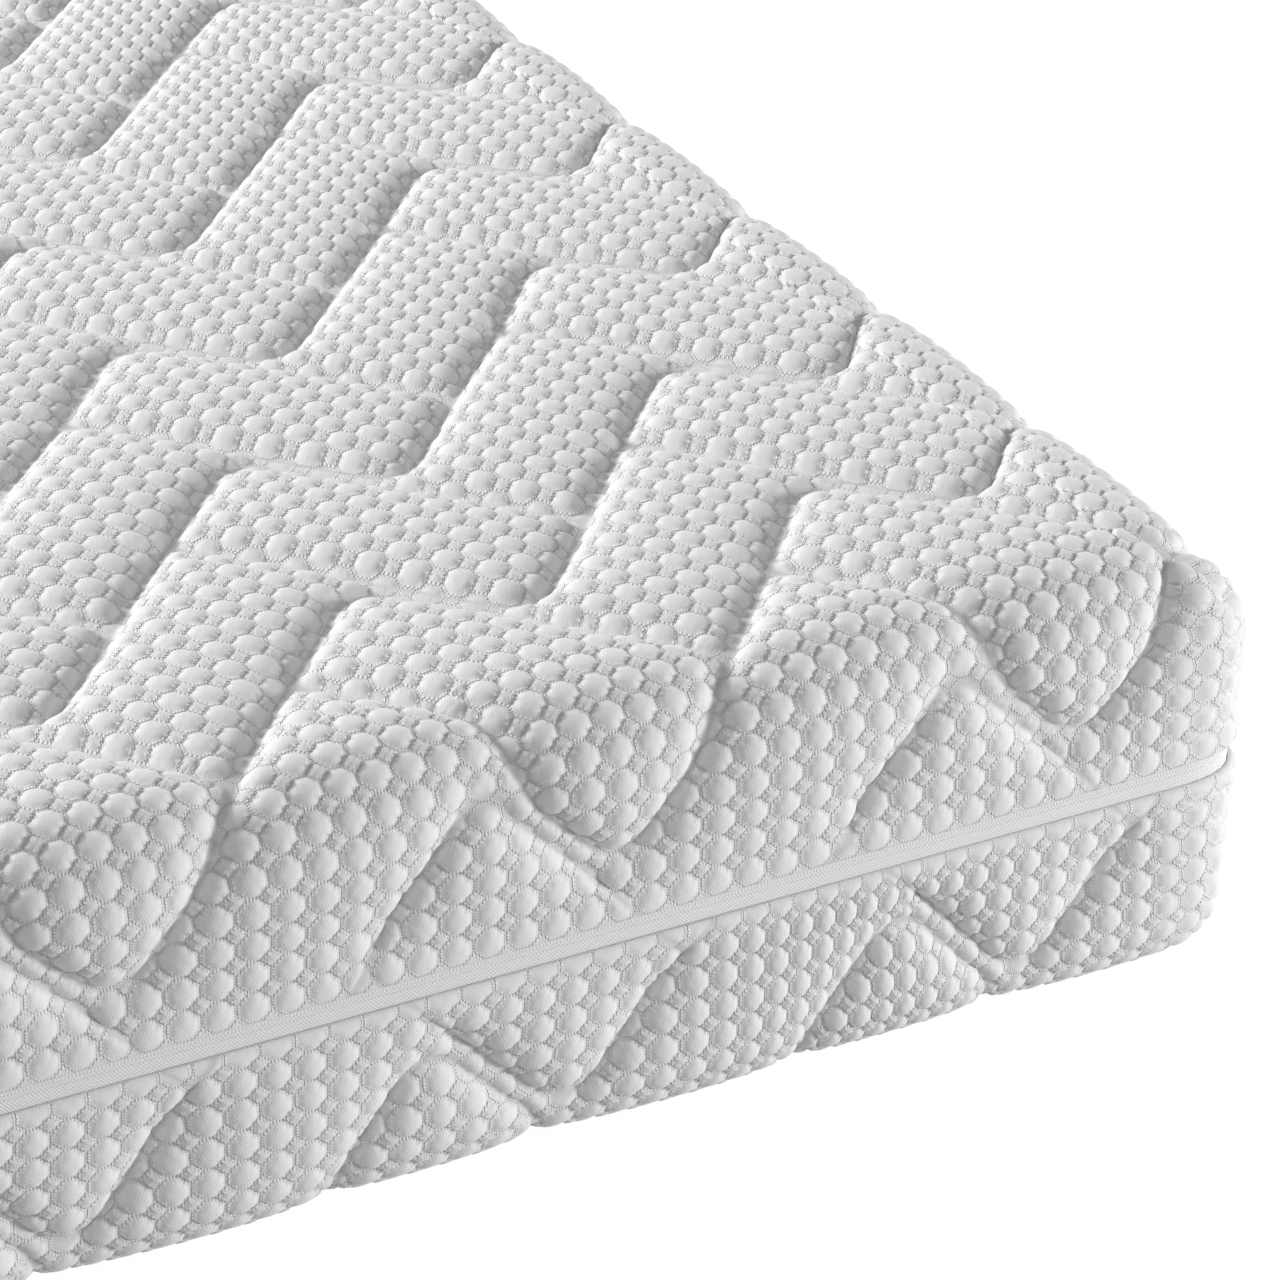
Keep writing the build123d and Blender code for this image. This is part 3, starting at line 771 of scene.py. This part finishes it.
class MATTRESS_OT_zip(bpy.types.Operator):
    """Models the zip's tapes and coils and finishes its slider, pull and stops"""

    bl_idname = "mattress.zip"
    bl_label = "Zip"

    # Line above the bead: depth and half width.
    GROOVE, GROOVE_HALF = 0.00045, 0.0003
    # How far the bead and the lower tape's edge stand out.
    BEAD_CROWN, EDGE_CROWN = 0.0002, 0.0001
    # Slope where the halves meet: height and depth.
    SLOPE = (0.0007, 0.0004)
    HEM_PLAY, COIL_PLAY = 0.0002, 0.00005
    COIL_SIDES = 12

    def execute(self, context):
        s = context.scene.mattress_zip
        gap = (s.park - s.parking / 2, s.park + s.parking / 2)
        o = coarse_outline(context, gap)
        low, high = ZIP_HEIGHT + s.chain_gap, ZIP_HEIGHT + s.tape_top
        out, back = s.tape_out, s.tape_out + s.tape
        bead_top = low + s.bead
        lip = HEM_LOW - self.HEM_PLAY
        close = (s.closing, lip, low)
        hidden = [(back, low), (back, high), (out, high), (out, lip)]
        groove = [
            (out, bead_top + 2 * self.GROOVE_HALF),
            (out + self.GROOVE, bead_top + self.GROOVE_HALF),
            (out, bead_top),
        ]
        meeting = [(out, low + self.SLOPE[0]), (out + self.SLOPE[1], low)]
        upper = hidden + groove + [(out - self.BEAD_CROWN, (low + bead_top) / 2)] + meeting
        lower = hidden + [(out - self.EDGE_CROWN, (low + lip) / 2)] + meeting
        weave = woven_tape("zip_weave", s.tape_colour)
        piece = band("upper_zip_tape_weave", o, upper, close)
        place(piece, weave, "cover_top", "zip_tape", "upper_zip_tape")
        piece = band("lower_zip_tape_weave", o, lower, close, True)
        place(piece, weave, "mattress", "zip_tape", "lower_zip_tape")
        near, far = back + self.COIL_PLAY, back + s.coil_depth
        top = low + s.coil_height
        middle, half_depth, half_height = (near + far) / 2, (far - near) / 2, s.coil_height / 2
        turns = np.linspace(0, 2 * math.pi, self.COIL_SIDES + 1)[:-1]
        loop = [
            (middle + half_depth * np.cos(x), (low + top) / 2 + half_height * np.sin(x)) for x in turns
        ]
        nylon = coil_nylon("zip_nylon", s.coil_colour)
        piece = band("upper_zip_coil_wound", o, loop, close, gap=gap)
        place(piece, nylon, "cover_top", "zip_coil", "upper_zip_coil")
        piece = band("lower_zip_coil_wound", o, loop, close, True)
        place(piece, nylon, "mattress", "zip_coil", "lower_zip_coil")
        enamel = cast_metal("zip_enamel_finish", s.enamel_colour, 0.0, 0.32)
        metal = cast_metal("zip_metal_finish", s.metal_colour, 1.0, 0.38)
        for node in ("zip_slider", "zip_pull", "upper_zip_stop", "lower_zip_stop"):
            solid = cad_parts[node]
            solid.data.materials.clear()
            solid.data.materials.append(metal if node.endswith("stop") else enamel)
        return {"FINISHED"}


class MATTRESS_OT_core(bpy.types.Operator):
    """Models the linings, the sleeve and the foam layers inside the cover"""

    bl_idname = "mattress.core"
    bl_label = "Linings, sleeve and foam"

    ARC_POINTS = 7
    # Where the middle of a softened cut lies, as a share of the cut.
    SOFTENED = 0.3
    SLEEVE_UNEVEN, SLEEVE_SEED = 0.0002, 5

    def arc(self, edge, inset, top, up):
        """Path over a rounded edge, from the deck to the side or back."""
        radius = edge - inset
        centre = top - radius if up else top + radius
        turns = np.linspace(0, QUARTER_TURN, self.ARC_POINTS)
        path = [
            (edge - radius * math.sin(x), centre + (1 if up else -1) * radius * math.cos(x)) for x in turns
        ]
        return path if up else path[::-1]

    def skin(self, edge, inset):
        """Side path of a closed form that lies an even depth inside the cover."""
        return self.arc(edge, inset, SIZE.z - inset, True) + self.arc(edge, inset, inset, False)

    def cut_edge(self, edge, inset, cut, height, up):
        """Softened edge of a foam layer at a cut, of its top where up is 1 and of its underside where it is -1."""
        soft = self.SOFTENED * cut
        turn = [(inset + cut, height), (inset + soft, height - soft * up), (inset, height - cut * up)]
        return [(edge, height)] + turn if up > 0 else turn[::-1] + [(edge, height)]

    def execute(self, context):
        s = context.scene.mattress_core
        cover = context.scene.mattress_cover
        edge = cover.edge_radius
        o = coarse_outline(context)
        rim = HEM_LOW + cover.pocket
        level = cover.thickness + s.gap
        lining = plain_cloth("lining_weave", s.lining_colour, 1400, 0.00012)
        path = self.arc(edge, level, SIZE.z - level, True) + [(level, rim)]
        inner = level + s.cloth
        path += [(inner, rim)] + self.arc(edge, inner, SIZE.z - inner, True)[::-1]
        for node, body in (("upper_lining", "cover_top"), ("lower_lining", "mattress")):
            piece = closed_form(node + "_cloth", o, path)
            if node == "lower_lining":
                piece.data.transform(Matrix.Translation((0, 0, SIZE.z)) @ Matrix.Rotation(math.pi, 4, "X"))
            place(piece, lining, body, "lining_cloth", node)
        level = inner + s.gap
        inner = level + s.cloth
        sleeve = plain_cloth("sleeve_knit", s.sleeve_colour, 700, 0.00025)
        loose = (self.SLEEVE_UNEVEN, self.SLEEVE_SEED)
        piece = closed_form("core_sleeve_knit", o, self.skin(edge, level), *loose)
        inside = closed_form("core_sleeve_inside", o, self.skin(edge, inner), *loose)
        inside.data.flip_normals()
        bpy.ops.object.select_all(action="DESELECT")
        inside.select_set(True)
        piece.select_set(True)
        context.view_layer.objects.active = piece
        bpy.ops.object.join()
        place(piece, sleeve, "mattress", "sleeve_cloth", "core_sleeve")
        inset = inner + s.gap
        top = SIZE.z - inset
        middle = top - s.memory
        low = middle - s.transition
        tops, undersides = (
            [self.cut_edge(edge, inset, s.cut, height, up) for height in (middle, low)] for up in (1, -1)
        )
        memory = self.arc(edge, inset, top, True) + undersides[0]
        transition = tops[0] + undersides[1]
        support = tops[1] + self.arc(edge, inset, inset, False)
        layers = (
            ("memory_foam_layer", memory, s.memory_colour, "memory_foam"),
            ("transition_foam_layer", transition, s.transition_colour, "transition_foam"),
            ("support_core", support, s.support_colour, "support_foam"),
        )
        for node, path, colour, slot in layers:
            piece = closed_form(node + "_open_cell", o, path)
            place(piece, open_cell_foam(slot + "_cells", colour), "mattress", slot, node)
        return {"FINISHED"}


class Nodes:
    """A material's node tree, with short ways to add to it."""

    def __init__(self, name):
        self.material = bpy.data.materials.new(name)
        self.material.use_nodes = True
        self.tree = self.material.node_tree
        self.shader = self.tree.nodes["Principled BSDF"]

    def add(self, kind, **settings):
        node = self.tree.nodes.new(kind)
        for key, value in settings.items():
            setattr(node, key, value)
        return node

    def link(self, source, target):
        self.tree.links.new(source, target)

    def uv(self, name):
        return self.add("ShaderNodeUVMap", uv_map=name).outputs["UV"]

    def where(self):
        return self.add("ShaderNodeTexCoord").outputs["Object"]

    def axes(self, source):
        """The coordinates of a place, by axis."""
        node = self.add("ShaderNodeSeparateXYZ")
        self.link(source, node.inputs[0])
        return [node.outputs[axis] for axis in "XYZ"]

    def maths(self, operation, *values):
        node = self.add("ShaderNodeMath", operation=operation)
        for socket, value in zip(node.inputs, values):
            if isinstance(value, (int, float)):
                socket.default_value = value
            else:
                self.link(value, socket)
        return node.outputs[0]

    def wave(self, value, number):
        """Sine of a value times a number."""
        return self.maths("SINE", self.maths("MULTIPLY", value, number))

    def ease(self, value, low, high, start, end):
        """Smooth change from start to end while a value goes from low to high."""
        node = self.add("ShaderNodeMapRange", interpolation_type="SMOOTHSTEP")
        self.link(value, node.inputs["Value"])
        for key, number in (("From Min", low), ("From Max", high), ("To Min", start), ("To Max", end)):
            node.inputs[key].default_value = number
        return node.outputs[0]

    def noise(self, source, scale, detail=2):
        node = self.add("ShaderNodeTexNoise")
        node.inputs["Scale"].default_value = scale
        node.inputs["Detail"].default_value = detail
        self.link(source, node.inputs["Vector"])
        return node.outputs[0]

    def bump(self, height, distance, strength=1.0):
        node = self.add("ShaderNodeBump")
        node.inputs["Strength"].default_value = strength
        node.inputs["Distance"].default_value = distance
        self.link(height, node.inputs["Height"])
        self.link(node.outputs[0], self.shader.inputs["Normal"])

    def tint(self, share, first, second):
        """Colour that goes from the first to the second with a share."""
        node = self.add("ShaderNodeMix", data_type="RGBA")
        self.link(share, node.inputs[0])
        for socket, colour in ((node.inputs[6], first), (node.inputs[7], second)):
            if isinstance(colour, bpy.types.NodeSocket):
                self.link(colour, socket)
            else:
                socket.default_value = (*colour, 1)
        self.link(node.outputs[2], self.shader.inputs["Base Color"])
        return node.outputs[2]

    def fix(self, **values):
        for key, value in values.items():
            self.shader.inputs[key.replace("_", " ")].default_value = value


def shade(colour, factor):
    """A colour made darker or lighter."""
    return tuple(min(1, factor * c) for c in colour)


def bubble_knit(s):
    """White double knit: bubbles and diamonds outlined by toothed seams, over a fine knitted ground. Its seams and
    the creases by the stitches get painted shade, and the seams' rims get a painted highlight.
    """
    n = Nodes("bubble_knit")
    teeth_number, loop_numbers = 33, (66, 31)
    uv = n.uv("knit")
    column, row, _ = n.axes(uv)
    x, y = (
        n.maths("ABSOLUTE", n.maths("SUBTRACT", value, n.maths("ROUND", value))) for value in (column, row)
    )
    cut = n.maths("MULTIPLY", n.maths("SUBTRACT", SEAM_CUT, n.maths("ADD", x, y)), math.sqrt(0.5))
    sides = n.maths("MINIMUM", n.maths("SUBTRACT", 0.5, x), n.maths("SUBTRACT", 0.5, y))
    inside = n.maths("MINIMUM", sides, cut)
    gap = n.maths("MAXIMUM", inside, n.maths("MULTIPLY", cut, -1))
    teeth = n.maths(
        "MULTIPLY",
        n.wave(n.maths("ADD", column, row), teeth_number),
        n.wave(n.maths("SUBTRACT", column, row), teeth_number),
    )
    seam = n.ease(n.maths("ADD", gap, n.maths("MULTIPLY", teeth, 0.02)), 0.0, 0.05, 1.0, 0.0)
    # The rim is raised in the bump and is also painted lighter as a highlight.
    rim = n.maths("MULTIPLY", n.ease(gap, 0.02, 0.10, 1.0, 0.0), n.ease(teeth, -0.1, 0.4, 0.0, 1.0))
    loops = n.maths("MULTIPLY", n.wave(column, loop_numbers[0]), n.wave(row, loop_numbers[1]))
    grain = n.noise(uv, 3.5, 4)
    ground = n.maths("ADD", n.maths("MULTIPLY", loops, 0.03), n.maths("MULTIPLY", grain, 0.35))
    height = n.maths("SUBTRACT", ground, n.maths("MULTIPLY", seam, 0.5))
    n.bump(n.maths("ADD", height, n.maths("MULTIPLY", rim, 0.45)), 0.0009, 0.8)
    # Painted shade: the knit is tinted darker in its seams and where the wadding's fullness is low beside the
    # stitches.
    crease_fullness = n.add("ShaderNodeAttribute", attribute_name="full").outputs["Fac"]
    painted_shade = n.maths("MAXIMUM", n.maths("MULTIPLY", seam, 0.12), n.ease(crease_fullness, 0.03, 0.25, 0.9, 0.0))
    ground = n.tint(painted_shade, s.colour, shade(s.colour, 0.80))
    # Painted highlight: the seams' toothed rims are tinted lighter than the knit.
    n.tint(n.maths("MULTIPLY", rim, 0.75), ground, shade(s.colour, 1.15))
    n.fix(Roughness=0.92, Sheen_Weight=0.15, Sheen_Roughness=0.5, Specular_IOR_Level=0.2)
    return n.material


def plain_cloth(name, colour, scale, depth):
    """Fine knitted or woven cloth with a slightly uneven tone."""
    n = Nodes(name)
    where = n.where()
    x, y, z = n.axes(where)
    warp, weft = (n.wave(n.maths("ADD", side, z), 4.0 * scale) for side in (x, y))
    grain = n.noise(where, scale, 2)
    weave = n.maths("ADD", n.maths("MULTIPLY", n.maths("MULTIPLY", warp, weft), 0.5), grain)
    n.bump(weave, depth)
    n.tint(n.noise(where, 6, 3), shade(colour, 0.95), shade(colour, 1.05))
    n.fix(Roughness=0.9, Sheen_Weight=0.2, Specular_IOR_Level=0.2)
    return n.material


def woven_tape(name, colour):
    """Plain-woven zip tape, its threads laid out along it and across it, with painted light and shade on its
    raised and sunk checks.
    """
    n = Nodes(name)
    weft_number, warp_number = 4300, 4600
    along, across, _ = n.axes(n.uv("tape"))
    threads = n.maths("MULTIPLY", n.wave(along, weft_number), n.wave(across, warp_number))
    n.bump(threads, 0.0001)
    # Painted light and shade: the tape is tinted lighter where the weave's bump is high and darker where it is
    # low.
    n.tint(n.ease(threads, -1, 1, 0, 1), shade(colour, 0.96), shade(colour, 1.04))
    n.fix(Roughness=0.8, Sheen_Weight=0.1, Specular_IOR_Level=0.3)
    return n.material


def coil_nylon(name, colour):
    """Wound nylon coil, its turns side by side along the zip, painted darker between the turns as shade."""
    n = Nodes(name)
    turn_number, slant = 2400, 0.12
    along, across, _ = n.axes(n.uv("tape"))
    lean = n.maths("ADD", along, n.maths("MULTIPLY", across, slant))
    turns = n.maths("ABSOLUTE", n.wave(lean, turn_number))
    n.bump(turns, 0.0005)
    # Painted shade: the coil is tinted darker in the grooves between its turns, where the bump is low.
    n.tint(n.ease(turns, 0, 0.5, 0, 1), shade(colour, 0.8), colour)
    n.fix(Roughness=0.35, Specular_IOR_Level=0.5)
    return n.material


def cast_metal(name, colour, metallic, roughness):
    """Small cast or crimped fitting, faintly uneven and rubbed."""
    n = Nodes(name)
    where = n.where()
    cloud = n.noise(where, 900, 3)
    n.bump(n.noise(where, 2600, 2), 0.00006)
    n.tint(n.ease(cloud, 0.45, 0.75, 0, 1), colour, shade(colour, 0.9))
    n.link(n.ease(cloud, 0.3, 0.7, roughness - 0.06, roughness + 0.1), n.shader.inputs["Roughness"])
    n.fix(Metallic=metallic)
    return n.material


def open_cell_foam(name, colour):
    """Cut foam with its open cells, the pores painted darker as shade over an uneven tone."""
    n = Nodes(name)
    where = n.where()
    cells = n.add("ShaderNodeTexVoronoi")
    cells.inputs["Scale"].default_value = 700
    n.link(where, cells.inputs["Vector"])
    pores = n.ease(cells.outputs["Distance"], 0.1, 0.55, 0.0, 1.0)
    n.bump(n.maths("ADD", pores, n.noise(where, 260, 3)), 0.0004)
    # Painted shade with random tone: darker in the cells' pits, where the bump is low, varied by a slow noise.
    n.tint(n.maths("MULTIPLY", pores, n.noise(where, 14, 3)), shade(colour, 0.88), shade(colour, 1.06))
    n.fix(Roughness=0.95, Specular_IOR_Level=0.15)
    return n.material


class MATTRESS_OT_stage(bpy.types.Operator):
    """Sets the floor, the lights and the camera"""

    bl_idname = "mattress.stage"
    bl_label = "Stage"

    FLOOR_SIZE, FLOOR_DROP = 60, 0.0015
    # Where each light stands, what it shines on and how large it is.
    KEY = ((-4.4, 4.6, 3.5), (0.5, 0.0, 0.2), 2.4)
    FILL = ((3.6, -2.2, 0.3), (0.7, -0.45, 0.1), 1.0)
    SENSOR = 36
    CLIP = (0.05, 100)

    def execute(self, context):
        scene = context.scene
        s = scene.mattress_stage
        bpy.ops.mesh.primitive_plane_add(size=self.FLOOR_SIZE, location=(0, 0, -self.FLOOR_DROP))
        floor = context.object
        floor.name = "floor"
        paint = Nodes("pale_floor")
        paint.fix(
            Base_Color=(*s.floor_colour, 1), Roughness=0.95, Specular_IOR_Level=0.0,
            Emission_Color=(1, 1, 1, 1), Emission_Strength=s.floor_glow,
        )
        floor.data.materials.append(paint.material)
        floor.visible_diffuse = False
        world = bpy.data.worlds.new("studio")
        scene.world = world
        world.use_nodes = True
        sky = world.node_tree.nodes["Background"]
        sky.inputs["Color"].default_value = (1, 1, 1, 1)
        sky.inputs["Strength"].default_value = s.sky
        lights = (("key", s.key_power, *self.KEY), ("fill", s.fill_power, *self.FILL))
        for name, power, spot, target, size in lights:
            light = bpy.data.lights.new(name, "AREA")
            light.energy = power
            light.size = size
            lamp = bpy.data.objects.new(name, light)
            scene.collection.objects.link(lamp)
            lamp.location = spot
            lamp.rotation_euler = (Vector(target) - Vector(spot)).to_track_quat("-Z", "Y").to_euler()
        data = bpy.data.cameras.new("camera")
        data.sensor_width = self.SENSOR
        data.lens = s.lens
        data.clip_start, data.clip_end = self.CLIP
        camera = bpy.data.objects.new("camera", data)
        scene.collection.objects.link(camera)
        turn = Matrix.Rotation(-s.heading, 4, "Z")
        lean = Matrix.Rotation(QUARTER_TURN - s.tilt, 4, "X")
        roll = Matrix.Rotation(s.roll, 4, "Z")
        camera.matrix_world = Matrix.Translation(s.camera_place) @ turn @ lean @ roll
        scene.camera = camera
        scene.view_settings.view_transform = "Standard"
        return {"FINISHED"}


class MATTRESS_PT_panel(bpy.types.Panel):
    """Lists the pieces of the mattress"""

    bl_label = "Mattress"
    bl_space_type = "VIEW_3D"
    bl_region_type = "UI"
    bl_category = "Mattress"

    def draw(self, context):
        for operator in OPERATORS:
            self.layout.operator(operator.bl_idname)


GROUPS = {
    "mattress_cover": CoverSettings,
    "mattress_zip": ZipSettings,
    "mattress_core": CoreSettings,
    "mattress_stage": StageSettings,
}
OPERATORS = (MATTRESS_OT_covers, MATTRESS_OT_zip, MATTRESS_OT_core, MATTRESS_OT_stage)
CLASSES = (*GROUPS.values(), *OPERATORS, MATTRESS_PT_panel)


def register():
    for item in CLASSES:
        bpy.utils.register_class(item)
    for name, group in GROUPS.items():
        setattr(bpy.types.Scene, name, PointerProperty(type=group))


def unregister():
    for name in GROUPS:
        delattr(bpy.types.Scene, name)
    for item in reversed(CLASSES):
        bpy.utils.unregister_class(item)


def main():
    register()
    bpy.ops.object.select_all(action="DESELECT")
    bpy.ops.mattress.covers()
    bpy.ops.mattress.zip()
    bpy.ops.mattress.core()
    bpy.ops.mattress.stage()


if __name__ == "__main__":
    main()
